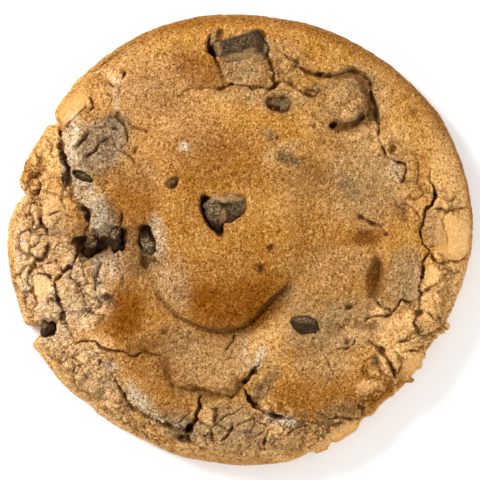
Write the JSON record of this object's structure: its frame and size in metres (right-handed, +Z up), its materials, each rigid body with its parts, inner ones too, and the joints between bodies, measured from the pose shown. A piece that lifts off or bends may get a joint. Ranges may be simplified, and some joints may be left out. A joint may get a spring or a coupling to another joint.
{
  "type": "chocolate chip cookie",
  "caption": "Round baked cookie with a cracked golden-brown crust, a raised middle plate, a flat underside and chocolate pieces sunk in its top.",
  "frame": {"origin": "middle of the cookie's outline, on the flat underside", "axes": "+Z up through the crust, +X and +Y across the cookie; the steep edge of the raised middle plate faces -Y"},
  "size_m": [0.1004, 0.0976, 0.0188],
  "materials": {
    "baked_dough": "dry baked crust, finely granular, browner on the raised middle",
    "chocolate": "dark chocolate, partly glossy, partly dull with bloom"
  },
  "bodies": {
    "root": {"cookie": "baked_dough", "chip_centre": "chocolate", "chip_north_east": "chocolate", "chip_south": "chocolate", "chip_west_inner": "chocolate", "chip_west_small": "chocolate", "chip_north_west": "chocolate", "chip_west_edge": "chocolate", "chip_south_low": "chocolate", "chip_south_west": "chocolate", "chunk_north": "chocolate", "melted_chocolate_west": "chocolate"}
  },
  "joints": []
}
